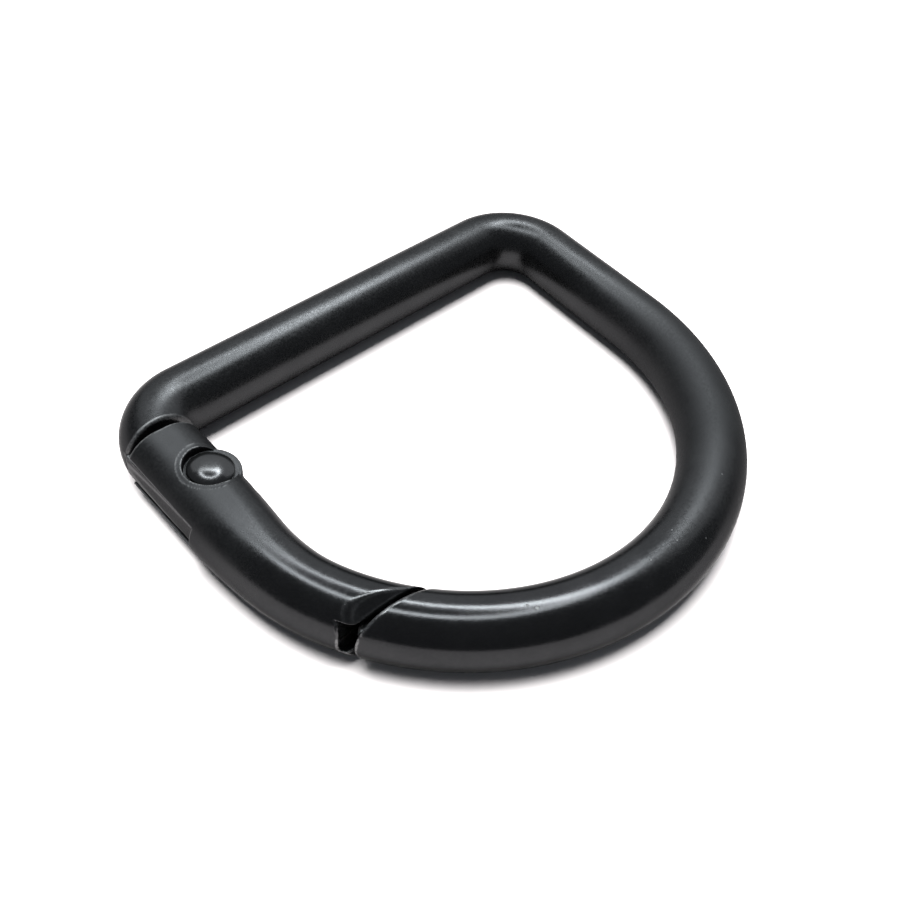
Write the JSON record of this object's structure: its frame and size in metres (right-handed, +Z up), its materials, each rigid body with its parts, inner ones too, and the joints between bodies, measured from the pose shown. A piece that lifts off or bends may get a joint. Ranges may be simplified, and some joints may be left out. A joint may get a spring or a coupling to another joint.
{
  "type": "d-shaped snap hook",
  "caption": "Small black coated D-shaped snap hook with a straight strap bar, a round bow and a sprung curved gate hinged on a domed rivet.",
  "frame": {"origin": "centre of the footprint, on the surface that the hook lies on", "axes": "+X across the hook along the strap bar, +Y from the round bow to the strap bar, +Z up through the wire; the gate is on the -X side"},
  "size_m": [0.0334, 0.0286, 0.0038],
  "materials": {
    "coat": "satin black coat, lightly worn",
    "rivet_coat": "smoother black coat"
  },
  "bodies": {
    "ring": {"ring": "coat", "rivet": "rivet_coat"},
    "gate": {"gate": "coat"}
  },
  "joints": [
    {"name": "gate_hinge", "type": "hinge", "parent": "ring", "child": "gate", "pos_m": [-0.01371, 0.006, 0.0019], "axis": [0, 0, 1], "range_deg": [0, 30], "stiffness_Nm_per_rad": 0.006, "springref_deg": -20.05}
  ]
}
